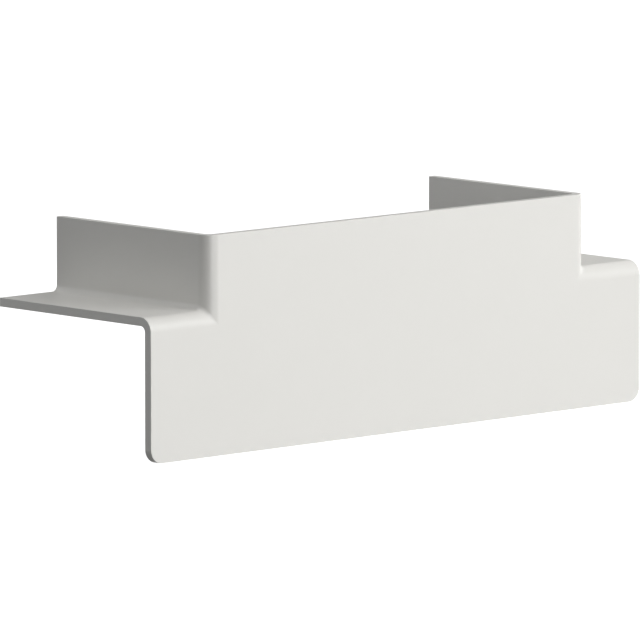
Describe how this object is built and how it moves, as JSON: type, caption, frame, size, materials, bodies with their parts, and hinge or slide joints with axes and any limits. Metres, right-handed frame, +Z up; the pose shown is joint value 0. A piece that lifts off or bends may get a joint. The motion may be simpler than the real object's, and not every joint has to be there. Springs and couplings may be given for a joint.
{
  "type": "trunking tee fitting",
  "caption": "Moulded plastic hood that covers the joint of a branch trunking and a through run: a T-shaped front plate with bent-back flanges and branch walls.",
  "frame": {"origin": "in the plane of the trunking lids (the inner face of the front plate), where the branch's centre line crosses the top edge of the run", "axes": "+X along the run, +Y from the front plate back to the wall, +Z up the branch"},
  "size_m": [0.1886, 0.0625, 0.0613],
  "materials": {
    "hood_plastic": "smooth satin off-white moulding"
  },
  "bodies": {
    "root": {"tee_hood": "hood_plastic"}
  },
  "joints": []
}
